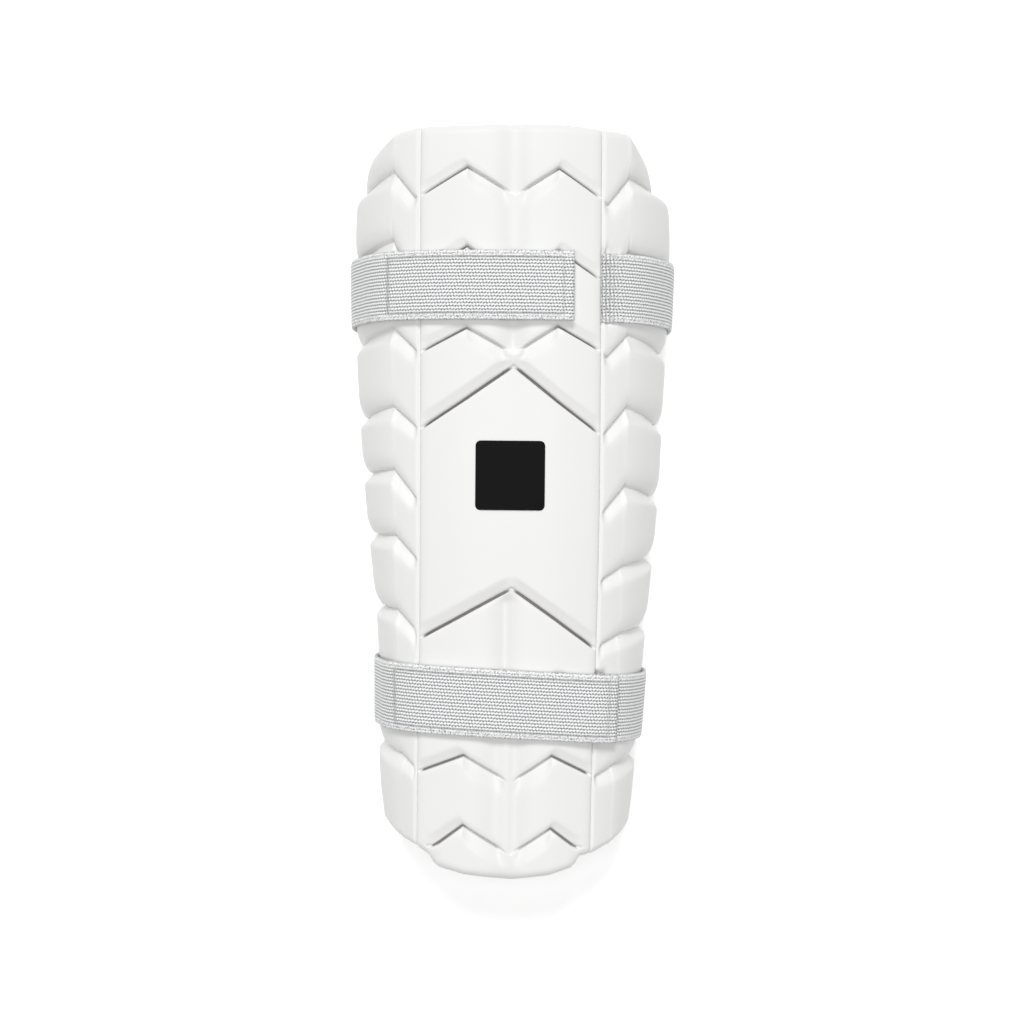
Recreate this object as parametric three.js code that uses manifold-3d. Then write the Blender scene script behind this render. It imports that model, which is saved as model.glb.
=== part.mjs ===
// Cricket arm guard: one moulded foam shell, two elastic straps with their grip patches, and a blank patch.
// Millimetres, front face up (+Z), elbow end +Y, lying on the straps' back spans at z = 0.
import * as THREE from 'three';
import Module from 'manifold-3d';

const wasm = await Module();
wasm.setup();

// Main sizes of the shell
const length = 277;
const width = 121;
const height = 60;
const wall = 11;
const rimWall = 8;
const grooveDepth = 2.6;
const edgeGrooveDepth = 2.8;
const valleyDepth = 1.1;
const bevelRun = 4.4;
const slopeRun = 5.5;
const endRounding = 3;
const ridgeDrop = 8.6;
const rimReach = 0.93; // the rim turns in from the widest place, as a share of the flank's reach

// Main sizes of the straps and patches
const strapWidth = 25;
const strapThickness = 1.5;
const patchThickness = 1;
const patchInset = 1.6;
const slitDepth = 9;
const badgeSize = 25.3;
const badgeThickness = 0.6;
const badgeCorner = 1.7;
const badgePlace = { across: -0.008, along: 0.538 };
const gap = 0.35;
const rimLift = strapThickness + gap;

// Cross sections along the guard. at: share of the length from the wrist end. The other columns are shares of
// the width, measured from the middle line to the panel edge, the ridge and the widest place, left and right,
// except front, the front face's share of the height.
const sections = [
  {
    at: 0, front: 0.84,
    panelL: 0.287, ridgeL: 0.326, sideL: 0.384, panelR: 0.249, ridgeR: 0.312, sideR: 0.368,
  },
  {
    at: 0.13, front: 0.86,
    panelL: 0.287, ridgeL: 0.338, sideL: 0.414, panelR: 0.252, ridgeR: 0.325, sideR: 0.393,
  },
  {
    at: 0.32, front: 0.9,
    panelL: 0.2835, ridgeL: 0.354, sideL: 0.424, panelR: 0.262, ridgeR: 0.339, sideR: 0.4245,
  },
  {
    at: 0.5, front: 0.95,
    panelL: 0.284, ridgeL: 0.368, sideL: 0.465, panelR: 0.267, ridgeR: 0.35, sideR: 0.46,
  },
  {
    at: 0.67, front: 0.98,
    panelL: 0.286, ridgeL: 0.376, sideL: 0.494, panelR: 0.266, ridgeR: 0.354, sideR: 0.4775,
  },
  {
    at: 0.8, front: 0.995,
    panelL: 0.2885, ridgeL: 0.379, sideL: 0.504, panelR: 0.265, ridgeR: 0.356, sideR: 0.49,
  },
  {
    at: 0.9, front: 1,
    panelL: 0.29, ridgeL: 0.379, sideL: 0.503, panelR: 0.2635, ridgeR: 0.356, sideR: 0.489,
  },
  {
    at: 0.92, front: 1,
    panelL: 0.29, ridgeL: 0.378, sideL: 0.494, panelR: 0.2635, ridgeR: 0.3555, sideR: 0.474,
  },
  {
    at: 0.935, front: 1,
    panelL: 0.29, ridgeL: 0.378, sideL: 0.48, panelR: 0.2635, ridgeR: 0.355, sideR: 0.443,
  },
  {
    at: 0.965, front: 0.998,
    panelL: 0.29, ridgeL: 0.376, sideL: 0.458, panelR: 0.2635, ridgeR: 0.354, sideR: 0.413,
  },
  {
    at: 1, front: 0.99,
    panelL: 0.29, ridgeL: 0.372, sideL: 0.402, panelR: 0.2635, ridgeR: 0.352, sideR: 0.374,
  },
];

// Lines across the shell from the elbow end to the wrist end, as shares of the length from the wrist end: at the
// side, the ridge, the flank's foot, the panel edge, the crest and the middle, left and right. front and flank
// say where the line is a moulded groove (1) and where it is only a change of row (0). middle says how much of
// it is cut at the middle. Where given, hip is a stop between ridge and side, and lobeIn and lobeOut are the
// corner of the narrower lobe at the wrist.
const lines = [
  {
    name: 'elbowEnd', front: 0, flank: 0, middle: 0, hipL: 0.98, hipR: 0.978,
    sideL: 0.962, ridgeL: 0.992, footL: 0.997, edgeL: 0.997, crestL: 0.998, mid: 1,
    crestR: 1, edgeR: 0.996, footR: 0.9955, ridgeR: 0.9935, sideR: 0.958,
  },
  {
    name: 'g1', front: 1, flank: 1, middle: 0.3,
    sideL: 0.9245, ridgeL: 0.9405, footL: 0.9045, edgeL: 0.9035, crestL: 0.9415, mid: 0.9045,
    crestR: 0.9405, edgeR: 0.902, footR: 0.896, ridgeR: 0.935, sideR: 0.928,
  },
  {
    name: 'g2', front: 1, flank: 1, middle: 0.3,
    sideL: 0.83, ridgeL: 0.8485, footL: 0.794, edgeL: 0.7955, crestL: 0.838, mid: 0.795,
    crestR: 0.833, edgeR: 0.795, footR: 0.786, ridgeR: 0.836, sideR: 0.814,
  },
  {
    name: 'g3', front: 1, flank: 1, middle: 0.3,
    sideL: 0.718, ridgeL: 0.7335, footL: 0.705, edgeL: 0.6985, crestL: 0.731, mid: 0.697,
    crestR: 0.734, edgeR: 0.702, footR: 0.6955, ridgeR: 0.727, sideR: 0.71,
  },
  {
    name: 'g4', front: 1, flank: 1, middle: 1,
    sideL: 0.6175, ridgeL: 0.629, footL: 0.604, edgeL: 0.597, crestL: 0.638, mid: 0.681,
    crestR: 0.635, edgeR: 0.592, footR: 0.5975, ridgeR: 0.631, sideR: 0.611,
  },
  {
    name: 'g5', front: 0, flank: 1, middle: 0,
    sideL: 0.542, ridgeL: 0.5455, footL: 0.5105, edgeL: 0.505, crestL: 0.552, mid: 0.58,
    crestR: 0.545, edgeR: 0.489, footR: 0.494, ridgeR: 0.526, sideR: 0.513,
  },
  {
    name: 'g6', front: 0, flank: 1, middle: 0,
    sideL: 0.459, ridgeL: 0.458, footL: 0.43, edgeL: 0.425, crestL: 0.455, mid: 0.485,
    crestR: 0.445, edgeR: 0.397, footR: 0.402, ridgeR: 0.4185, sideR: 0.432,
  },
  {
    name: 'g7', front: 1, flank: 1, middle: 1,
    sideL: 0.3625, ridgeL: 0.3585, footL: 0.3335, edgeL: 0.32, crestL: 0.354, mid: 0.388,
    crestR: 0.348, edgeR: 0.307, footR: 0.315, ridgeR: 0.328, sideR: 0.338,
  },
  {
    name: 'g8', front: 1, flank: 1, middle: 0.3,
    sideL: 0.2715, ridgeL: 0.272, footL: 0.2455, edgeL: 0.2405, crestL: 0.272, mid: 0.235,
    crestR: 0.272, edgeR: 0.2405, footR: 0.236, ridgeR: 0.251, sideR: 0.256,
  },
  {
    name: 'g9', front: 1, flank: 1, middle: 0.3,
    sideL: 0.1765, ridgeL: 0.1635, footL: 0.15, edgeL: 0.142, crestL: 0.166, mid: 0.129,
    crestR: 0.166, edgeR: 0.139, footR: 0.139, ridgeR: 0.1515, sideR: 0.16,
  },
  {
    name: 'g10', front: 1, flank: 0, middle: 0.3, hipL: 0.082, hipR: 0.077, lobeIn: 0.0445, lobeOut: 0.0435,
    sideL: 0.108, ridgeL: 0.065, footL: 0.058, edgeL: 0.055, crestL: 0.0725, mid: 0.033,
    crestR: 0.069, edgeR: 0.048, footR: 0.051, ridgeR: 0.062, sideR: 0.098,
  },
  {
    name: 'wristEnd', front: 0, flank: 0, middle: 0, hipL: 0.065, hipR: 0.061, lobeIn: 0.0175, lobeOut: 0.032,
    sideL: 0.092, ridgeL: 0.049, footL: 0.044, edgeL: 0.0425, crestL: 0.007, mid: 0,
    crestR: 0.007, edgeR: 0.034, footR: 0.036, ridgeR: 0.046, sideR: 0.082,
  },
];

// Depth of the middle valley in the row below each line, as a share of valleyDepth.
const valleyBelow = { elbowEnd: 1, g1: 1, g2: 1, g3: 0.8, g4: 0, g5: 0, g6: 0, g7: 1.3, g8: 1, g9: 1.4, g10: 0.8 };

// The two strap places: centre and tilt as shares of the length, and where the free end stops, counted in
// panel steps (1 is the panel edge, 1.5 the ridge).
const strapPlaces = [
  { name: 'upper', at: 0.7865, tilt: 0, freeEnd: 0.66 },
  { name: 'lower', at: 0.2368, tilt: -0.0204, freeEnd: 1.3 },
];

// Colours from the photograph
const foamWhite = new THREE.MeshStandardMaterial({ name: 'white_foam', color: 0xf1f3f3, roughness: 0.5 });
const elasticGrey = new THREE.MeshStandardMaterial({ name: 'grey_elastic', color: 0xd0d2d3, roughness: 0.9 });
const gripGrey = new THREE.MeshStandardMaterial({ name: 'grip_tape', color: 0xc6c8ca, roughness: 0.95 });
const badgeBlack = new THREE.MeshStandardMaterial({ name: 'black_patch', color: 0x161618, roughness: 0.45 });

function lerp(a, b, t) {
  return a + (b - a) * t;
}

function clamp(value, low, high) {
  return Math.min(high, Math.max(low, value));
}

function smooth(low, high, value) {
  const t = clamp((value - low) / (high - low), 0, 1);
  return t * t * (3 - 2 * t);
}

// Smooth curve through keyed points: keys rise, each value a number.
function throughKeys(keys, values, at) {
  let i = 0;
  while (i < keys.length - 2 && at > keys[i + 1]) i += 1;
  const span = keys[i + 1] - keys[i];
  const t = clamp((at - keys[i]) / span, 0, 1);
  const slope = (k) => {
    const a = Math.max(0, k - 1);
    const b = Math.min(keys.length - 1, k + 1);
    return (values[b] - values[a]) / (keys[b] - keys[a]);
  };
  const m0 = slope(i) * span;
  const m1 = slope(i + 1) * span;
  const t2 = t * t;
  const t3 = t2 * t;
  return (2 * t3 - 3 * t2 + 1) * values[i] + (t3 - 2 * t2 + t) * m0
    + (3 * t2 - 2 * t3) * values[i + 1] + (t3 - t2) * m1;
}

// The section's sizes in mm at a place y on the guard, side 'L' or 'R'.
function sectionAt(y, side) {
  const keys = sections.map((row) => row.at);
  const share = clamp(y / length + 0.5, 0, 1);
  const read = (column) => throughKeys(keys, sections.map((row) => row[column]), share);
  return {
    panel: width * read('panel' + side),
    ridge: width * read('ridge' + side),
    side: width * read('side' + side),
    front: height * read('front'),
  };
}

// Outer curve of one half section. u: 0 middle, 0.5 crest, 1 panel edge, 1.5 ridge, 2 rear edge.
function outerPoint(u, y) {
  const s = sectionAt(y, u < 0 ? 'L' : 'R');
  const rearDrop = s.front - rimLift - rimWall / 2;
  const flank = rearDrop - ridgeDrop;
  const reach = s.side - s.ridge;
  const shape = [
    { u: 0, across: 0, drop: 0 },
    { u: 0.5, across: s.panel * 0.5, drop: 0.5 },
    { u: 0.9, across: s.panel * 0.9, drop: 2.4 },
    { u: 1, across: s.panel, drop: 3.6 },
    { u: 1.25, across: lerp(s.panel, s.ridge, 0.52), drop: 5.9 },
    { u: 1.42, across: lerp(s.panel, s.ridge, 0.85), drop: ridgeDrop - 0.85 },
    { u: 1.5, across: s.ridge, drop: ridgeDrop },
    { u: 1.56, across: s.ridge + reach * 0.26, drop: ridgeDrop + flank * 0.07 },
    { u: 1.625, across: s.ridge + reach * 0.52, drop: ridgeDrop + flank * 0.18 },
    { u: 1.75, across: s.ridge + reach * 0.88, drop: ridgeDrop + flank * 0.42 },
    { u: 1.875, across: s.side, drop: ridgeDrop + flank * 0.7 },
    { u: 2, across: s.ridge + reach * rimReach, drop: rearDrop },
  ];
  const keys = shape.map((row) => row.u);
  const a = Math.abs(u);
  const across = throughKeys(keys, shape.map((row) => row.across), a);
  const drop = throughKeys(keys, shape.map((row) => row.drop), a);
  return new THREE.Vector2(u < 0 ? -across : across, s.front - drop);
}

// Outward direction of the outer curve in the section's plane.
function outerNormal(u, y) {
  const step = 0.02;
  const a = outerPoint(Math.max(-2, u - step), y);
  const b = outerPoint(Math.min(2, u + step), y);
  return new THREE.Vector2(a.y - b.y, b.x - a.x).normalize();
}

// Inner curve of one half section, plain.
function innerPoint(u, y) {
  const s = sectionAt(y, u < 0 ? 'L' : 'R');
  const rearDrop = s.front - rimLift - rimWall / 2;
  const flank = rearDrop - ridgeDrop;
  const rearX = lerp(s.ridge, s.side, rimReach) - rimWall;
  const shape = [
    { u: 0, across: 0, drop: wall },
    { u: 0.5, across: s.panel * 0.45, drop: wall + 0.6 },
    { u: 1, across: s.panel * 0.86, drop: wall + 4.2 },
    { u: 1.5, across: lerp(s.panel, s.ridge, 0.2), drop: ridgeDrop + wall },
    { u: 1.75, across: lerp(s.ridge, s.side, 0.7) - wall * 0.9, drop: ridgeDrop * 1.2 + flank * 0.48 },
    { u: 2, across: rearX, drop: rearDrop },
  ];
  const keys = shape.map((row) => row.u);
  const a = Math.abs(u);
  const across = throughKeys(keys, shape.map((row) => row.across), a);
  const drop = throughKeys(keys, shape.map((row) => row.drop), a);
  return new THREE.Vector2(u < 0 ? -across : across, s.front - drop);
}

// Place along the guard, in mm from its middle, where a line crosses u.
function lineAt(line, u) {
  const a = Math.abs(u);
  const h = u < 0 ? 'L' : 'R';
  const lobe = line.lobeIn === undefined ? [] : [{ u: 0.8, y: line.lobeIn }, { u: 0.86, y: line.lobeOut }];
  const hip = line.hipL === undefined ? [] : [{ u: 1.75, y: line['hip' + h] }];
  const stops = [
    { u: 0, y: line.mid },
    { u: 0.5, y: line['crest' + h] },
    ...lobe,
    { u: 1, y: line['edge' + h] },
    { u: 1.1, y: line['foot' + h] },
    { u: 1.5, y: line['ridge' + h] },
    ...hip,
    { u: 1.85, y: line['side' + h] },
    { u: 2, y: line['side' + h] },
  ];
  let i = 0;
  while (i < stops.length - 2 && a > stops[i + 1].u) i += 1;
  const t = clamp((a - stops[i].u) / (stops[i + 1].u - stops[i].u), 0, 1);
  return (lerp(stops[i].y, stops[i + 1].y, t) - 0.5) * length;
}

// How deep a line is moulded at u, 0 to 1.
function lineStrength(line, u) {
  const a = Math.abs(u);
  const inner = lerp(line.middle, 1, smooth(0.03, 0.14, a));
  const lobe = line.lobeOut === undefined ? 1 : 1 - smooth(0.8, 0.88, a);
  const front = line.front * inner * lobe * (1 - smooth(0.93, 1, a) * 0.6);
  const flank = line.flank * smooth(0.98, 1.1, a);
  return a < 1 ? front : Math.max(flank, front * (1 - smooth(1, 1.1, a)));
}

function edgeGroove(u) {
  const away = Math.abs(Math.abs(u) - 1);
  return edgeGrooveDepth * (1 - smooth(0, 0.085, away));
}

function valley(u) {
  return valleyDepth * Math.exp(-((u / 0.16) ** 2));
}

// Stations along the shell. Each knows its row, where it lies in the row and how deep the row's line cuts there.
function shellStations() {
  const stations = [];
  const steps = [
    { from: 'top', run: 0.4, share: 0.04, depth: 0.5 },
    { from: 'top', run: slopeRun, share: 0.36, depth: 0 },
    { from: 'low', run: bevelRun, share: 0.3, depth: 0 },
    { from: 'low', run: bevelRun * 0.33, share: 0.1, depth: 0.36 },
    { from: 'low', run: 0, share: 0, depth: 1 },
  ];
  for (let row = 0; row < lines.length - 1; row += 1) {
    for (const step of steps) stations.push({ row, ...step });
  }
  stations.pop();
  return stations;
}

function stationY(station, u) {
  const top = lineAt(lines[station.row], u);
  const low = lineAt(lines[station.row + 1], u);
  const offset = Math.min(station.run, (top - low) * station.share);
  return station.from === 'top' ? top - offset : low + offset;
}

// A point on the moulded outer face.
function shellOuter(station, u) {
  const y = stationY(station, u);
  const line = lines[station.from === 'top' ? station.row : station.row + 1];
  const cut = grooveDepth * station.depth * lineStrength(line, u);
  const hollow = Math.abs(u) < 0.6 ? valley(u) * valleyBelow[lines[station.row].name] : 0;
  const depth = Math.max(cut, edgeGroove(u)) + hollow;
  const p = outerPoint(u, y);
  const n = outerNormal(u, y);
  return new THREE.Vector3(p.x - n.x * depth, y, p.y - n.y * depth);
}

// Samples across the shell, crowded where the lines turn and at the panel edges.
function acrossSamples() {
  const half = [0.07, 0.14, 0.3, 0.45, 0.5, 0.55, 0.75, 0.93, 0.97, 1, 1.03, 1.1, 1.25, 1.42, 1.5, 1.6, 1.75, 1.88, 2];
  return [...half.map((u) => -u).reverse(), 0, ...half];
}

// One closed loop round the shell's section at a station, shrunk towards the wall's middle by inset.
function shellLoop(station, inset, shift) {
  const outer = acrossSamples();
  const inner = [-2, -1.88, -1.75, -1.6, -1.5, -1.3, -1, -0.6, -0.3, 0, 0.3, 0.6, 1, 1.3, 1.5, 1.6, 1.75, 1.88, 2];
  const loop = [];
  for (const u of outer) {
    const p = shellOuter(station, u);
    const n = outerNormal(u, p.y);
    loop.push(new THREE.Vector3(p.x - n.x * inset, p.y + shift, p.z - n.y * inset));
  }
  const rim = (sign) => {
    const y = stationY(station, 2 * sign);
    const a = outerPoint(2 * sign, y);
    const b = innerPoint(2 * sign, y);
    const radius = rimWall / 2 - inset;
    const points = [];
    for (const turn of [0.25, 0.5, 0.75]) {
      const angle = Math.PI * turn;
      const x = (a.x + b.x) / 2 + sign * radius * Math.cos(angle);
      points.push(new THREE.Vector3(x, y + shift, a.y - radius * Math.sin(angle)));
    }
    return sign > 0 ? points : points.reverse();
  };
  loop.push(...rim(1));
  for (const u of inner.reverse()) {
    const y = stationY(station, u);
    const p = innerPoint(u, y);
    const n = outerNormal(u, y);
    loop.push(new THREE.Vector3(p.x + n.x * inset * 0.7, y + shift, p.y + n.y * inset * 0.7));
  }
  loop.push(...rim(-1));
  return { loop, outerCount: outer.length };
}

// Closed mesh from a row of equal loops, with each end closed as a strip between its outer and inner sides.
function loftLoops(loops, outerCount) {
  const n = loops[0].length;
  const positions = loops.flat().flatMap((p) => [p.x, p.y, p.z]);
  const index = [];
  for (let i = 0; i < loops.length - 1; i += 1) {
    for (let j = 0; j < n; j += 1) {
      const a = i * n + j;
      const b = i * n + (j + 1) % n;
      const c = a + n;
      const d = b + n;
      index.push(a, c, b, b, c, d);
    }
  }
  const cap = (base, flip) => {
    let i = 0;
    let j = n - 1;
    const put = (a, b, c) => index.push(...(flip ? [base + a, base + c, base + b] : [base + a, base + b, base + c]));
    while (i < outerCount + 1 && j > outerCount + 2) {
      const li = i / (outerCount + 1);
      const lj = (n - 1 - j) / (n - outerCount - 3);
      if (li <= lj) {
        put(i, i + 1, j);
        i += 1;
      } else {
        put(i, j - 1, j);
        j -= 1;
      }
    }
    while (i < outerCount + 1) {
      put(i, i + 1, j);
      i += 1;
    }
    while (j > outerCount + 2) {
      put(i, j - 1, j);
      j -= 1;
    }
  };
  cap(0, false);
  cap((loops.length - 1) * n, true);
  const geometry = new THREE.BufferGeometry();
  geometry.setAttribute('position', new THREE.Float32BufferAttribute(positions, 3));
  geometry.setIndex(index);
  return geometry;
}

// The foam shell before its strap slits are cut.
function shellGeometry() {
  const stations = shellStations();
  const first = stations[0];
  const last = stations[stations.length - 1];
  const ends = [
    { inset: endRounding, shift: 0 },
    { inset: endRounding * 0.3, shift: endRounding * 0.5 },
  ];
  const loops = [];
  let outerCount = 0;
  for (const end of ends) {
    const made = shellLoop({ ...first, run: 0, depth: 0 }, end.inset, -end.shift);
    loops.push(made.loop);
    outerCount = made.outerCount;
  }
  for (const station of stations.slice(1)) loops.push(shellLoop(station, 0, 0).loop);
  for (const end of [...ends].reverse()) {
    loops.push(shellLoop({ ...last, run: 0, depth: 0 }, end.inset, end.shift).loop);
  }
  return loftLoops(loops, outerCount);
}

// Middle line of a strap, as u and lift off the shell for the parts that follow it, or as a plain point.
function strapPath(place, y) {
  const path = [];
  const right = sectionAt(y, 'R');
  const half = strapThickness / 2;
  const low = gap + half;
  const high = gap + patchThickness + gap + half;
  const rimOut = rimWall / 2 + low;
  const over = (u, lift) => {
    const p = outerPoint(u, y);
    const n = outerNormal(u, y);
    path.push(new THREE.Vector2(p.x + n.x * lift, p.y + n.y * lift));
  };
  const slit = [
    { in: slitDepth, drop: 8.4 },
    { in: slitDepth * 0.5, drop: 7.8 },
    { in: slitDepth * 0.13, drop: 6.9 },
    { in: -slitDepth * 0.07, drop: 5.9 },
    { in: -slitDepth * 0.27, drop: 5.2 },
  ];
  for (const row of slit) path.push(new THREE.Vector2(right.panel - row.in, right.front - row.drop));
  for (const u of [1.28, 1.38, 1.46, 1.5, 1.56, 1.65, 1.75, 1.85, 1.93]) over(u, low);
  const turnRim = (sign, turns) => {
    const a = outerPoint(2 * sign, y);
    const x = a.x - sign * rimWall / 2;
    for (const turn of turns) {
      const angle = Math.PI * turn;
      path.push(new THREE.Vector2(x + sign * rimOut * Math.cos(angle), a.y - rimOut * Math.sin(angle)));
    }
  };
  turnRim(1, [0, 0.125, 0.25, 0.375, 0.5]);
  turnRim(-1, [0.5, 0.375, 0.25, 0.125, 0]);
  for (const u of [-1.93, -1.85, -1.75, -1.67]) over(u, low);
  const end = place.freeEnd;
  const front = [-1.6, -1.54, -1.5, -1.45, -1.36, -1.2, -1, -0.75, -0.5, -0.25, 0, 0.25, 0.5, end];
  if (end > 1) front.splice(front.length - 1, 0, 0.7, 0.85, 0.95, 1.05, 1.15);
  for (const u of front) {
    const climb = smooth(-1.72, -1.5, u) * (high - low);
    const cross = smooth(0.55, 1.1, u) * (strapThickness + gap);
    over(u, low + climb + cross);
  }
  return path;
}

// Closed band that follows a path at each place across its width.
function bandGeometry(pathAt, placeY, options) {
  const { thickness, bandWidth, acrossSteps = 3, from = 0, to = Infinity, lift = 0, widthAt } = options;
  const rows = [];
  for (let k = 0; k < acrossSteps; k += 1) {
    const side = (k / (acrossSteps - 1) - 0.5) * bandWidth;
    const rough = pathAt(placeY(0) + side);
    const points = rough.map((p, i) => pathAt(placeY(p.x) + side)[i]);
    const used = points.slice(from, Math.min(points.length, to));
    rows.push(used.map((p, i) => {
      const a = used[Math.max(0, i - 1)];
      const b = used[Math.min(used.length - 1, i + 1)];
      const turn = new THREE.Vector2(b.x - a.x, b.y - a.y).normalize();
      const share = widthAt ? widthAt(i / (used.length - 1)) : 1;
      const y = placeY(p.x) + side * share;
      return { p, y, n: new THREE.Vector2(-turn.y, turn.x) };
    }));
  }
  const vertices = [];
  for (const face of [1, -1]) {
    for (const row of rows) {
      for (const { p, y, n } of row) {
        const off = lift + face * thickness / 2;
        vertices.push(p.x + n.x * off, y, p.y + n.y * off);
      }
    }
  }
  return closedSheet(vertices, rows.length, rows[0].length);
}

// Triangles of a closed sheet made of two matching grids of vertices, rows by columns.
function closedSheet(vertices, rowCount, columnCount) {
  const index = [];
  const at = (face, row, column) => (face * rowCount + row) * columnCount + column;
  const quad = (a, b, c, d) => index.push(a, b, c, a, c, d);
  for (let r = 0; r < rowCount - 1; r += 1) {
    for (let c = 0; c < columnCount - 1; c += 1) {
      quad(at(0, r, c), at(0, r, c + 1), at(0, r + 1, c + 1), at(0, r + 1, c));
      quad(at(1, r, c), at(1, r + 1, c), at(1, r + 1, c + 1), at(1, r, c + 1));
    }
  }
  const last = rowCount - 1;
  for (let c = 0; c < columnCount - 1; c += 1) {
    quad(at(0, 0, c), at(1, 0, c), at(1, 0, c + 1), at(0, 0, c + 1));
    quad(at(0, last, c), at(0, last, c + 1), at(1, last, c + 1), at(1, last, c));
  }
  const end = columnCount - 1;
  for (let r = 0; r < last; r += 1) {
    quad(at(0, r, 0), at(0, r + 1, 0), at(1, r + 1, 0), at(1, r, 0));
    quad(at(0, r, end), at(1, r, end), at(1, r + 1, end), at(0, r + 1, end));
  }
  const geometry = new THREE.BufferGeometry();
  geometry.setAttribute('position', new THREE.Float32BufferAttribute(vertices, 3));
  geometry.setIndex(index);
  return geometry;
}

function strapCentre(place) {
  return (x) => (place.at - 0.5) * length + place.tilt * length * (x / (width / 2)) * 0.5;
}

function strapGeometry(place, extra = {}) {
  const options = { thickness: strapThickness, bandWidth: strapWidth, ...extra };
  return bandGeometry((y) => strapPath(place, y), strapCentre(place), options);
}

// Room round the strap where it enters the shell.
function slitGeometry(place) {
  return strapGeometry(place, {
    thickness: strapThickness + 1.9 * gap, bandWidth: strapWidth + 2 * gap, to: 8,
  });
}

// The grip patch lies between the strap's free part and the shell.
function gripPatchGeometry(place) {
  const path = strapPath(place, 0);
  const left = outerPoint(-1.5, strapCentre(place)(0)).x;
  const from = path.findIndex((p, i) => i > 20 && p.x > left);
  return strapGeometry(place, {
    thickness: patchThickness,
    bandWidth: strapWidth - 2 * patchInset,
    from,
    lift: -(strapThickness / 2 + gap + patchThickness / 2),
  });
}

// The blank patch follows the big middle panel.
function badgeGeometry() {
  const count = 13;
  const half = badgeSize / 2;
  const pathAt = (y) => {
    const points = [];
    for (let i = 0; i < count; i += 1) {
      const x = badgePlace.across * width - half * Math.cos(Math.PI * i / (count - 1));
      const s = sectionAt(y, x < 0 ? 'L' : 'R');
      const u = x / s.panel;
      points.push(outerPoint(u, y));
    }
    return points;
  };
  const widthAt = (share) => {
    const x = half * (1 - Math.abs(Math.cos(Math.PI * share)));
    if (x >= badgeCorner) return 1;
    const rise = badgeCorner - Math.sqrt(badgeCorner ** 2 - (badgeCorner - x) ** 2);
    return 1 - rise / half;
  };
  return bandGeometry(pathAt, () => (badgePlace.along - 0.5) * length, {
    thickness: badgeThickness, bandWidth: badgeSize, acrossSteps: 4, lift: gap + badgeThickness / 2, widthAt,
  });
}

function toManifold(geometry) {
  return new wasm.Manifold(new wasm.Mesh({
    numProp: 3,
    vertProperties: new Float32Array(geometry.attributes.position.array),
    triVerts: new Uint32Array(geometry.index.array),
  }));
}

function fromManifold(solid) {
  const mesh = solid.getMesh();
  const geometry = new THREE.BufferGeometry();
  geometry.setAttribute('position', new THREE.BufferAttribute(new Float32Array(mesh.vertProperties), 3));
  geometry.setIndex([...mesh.triVerts]);
  return geometry;
}

function slitShell() {
  let shell = toManifold(shellGeometry());
  for (const place of strapPlaces) shell = shell.subtract(toManifold(slitGeometry(place)));
  return fromManifold(shell);
}

const group = new THREE.Group();

function addPart(name, geometry, material) {
  geometry.computeVertexNormals();
  const mesh = new THREE.Mesh(geometry, material);
  mesh.name = name;
  group.add(mesh);
}

addPart('guard_pad', slitShell(), foamWhite);
for (const place of strapPlaces) {
  addPart(place.name + '_strap', strapGeometry(place), elasticGrey);
  addPart(place.name + '_grip_patch', gripPatchGeometry(place), gripGrey);
}
addPart('badge', badgeGeometry(), badgeBlack);

// The row's origin is the middle of the bounding box's foot.
const box = new THREE.Box3().setFromObject(group);
const middle = box.getCenter(new THREE.Vector3());
for (const mesh of group.children) mesh.geometry.translate(-middle.x, -middle.y, -box.min.z);

export default group;
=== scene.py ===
import math

import bpy
import bmesh
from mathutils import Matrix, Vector


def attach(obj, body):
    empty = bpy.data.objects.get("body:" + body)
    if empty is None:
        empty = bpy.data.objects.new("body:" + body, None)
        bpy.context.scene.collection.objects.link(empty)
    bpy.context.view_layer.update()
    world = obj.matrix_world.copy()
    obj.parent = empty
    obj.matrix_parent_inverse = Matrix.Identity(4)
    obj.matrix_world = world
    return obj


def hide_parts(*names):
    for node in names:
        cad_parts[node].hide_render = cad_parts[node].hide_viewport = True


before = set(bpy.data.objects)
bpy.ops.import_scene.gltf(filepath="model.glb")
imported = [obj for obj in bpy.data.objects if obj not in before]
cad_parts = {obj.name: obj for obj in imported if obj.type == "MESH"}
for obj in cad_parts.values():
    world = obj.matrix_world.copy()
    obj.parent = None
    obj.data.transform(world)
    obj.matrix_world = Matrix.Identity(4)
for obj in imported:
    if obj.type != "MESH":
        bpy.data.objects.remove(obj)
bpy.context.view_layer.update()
mm = 0.001
print("frame loaded")

view = {
    "lens": 63.1,
    "sensor": 36.0,
    "clipEnd": 20.0,
    "frontHeight": 60.0,
    "distance": 650.0,  # from the front face to the lens
    "centre": (0.47, -2.7),
    "roll": 0.53,
}


def makeCamera():
    data = bpy.data.cameras.new("photoCamera")
    data.lens = view["lens"]
    data.sensor_width = view["sensor"]
    data.clip_end = view["clipEnd"]
    camera = bpy.data.objects.new("photoCamera", data)
    bpy.context.scene.collection.objects.link(camera)
    x, y = view["centre"]
    camera.location = (x * mm, y * mm, (view["frontHeight"] + view["distance"]) * mm)
    camera.rotation_euler = (0, 0, math.radians(view["roll"]))
    bpy.context.scene.camera = camera


studio = {
    "floorHalf": 4.0,
    "floorGrey": 0.9,
    "floorRoughness": 0.9,
    "floorGlow": 0.32,  # keeps the floor as white as the photo's ground
    "worldGrey": 0.92,
    "worldStrength": 0.25,
    "aimHeight": 0.04,
    "lights": [  # name, place, size, power
        ("overhead", (-0.02, -0.05, 1.3), 0.6, 7.4),
        ("fromTop", (-0.4, 4.3, 6.4), 2.6, 314.0),
    ],
}


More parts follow.
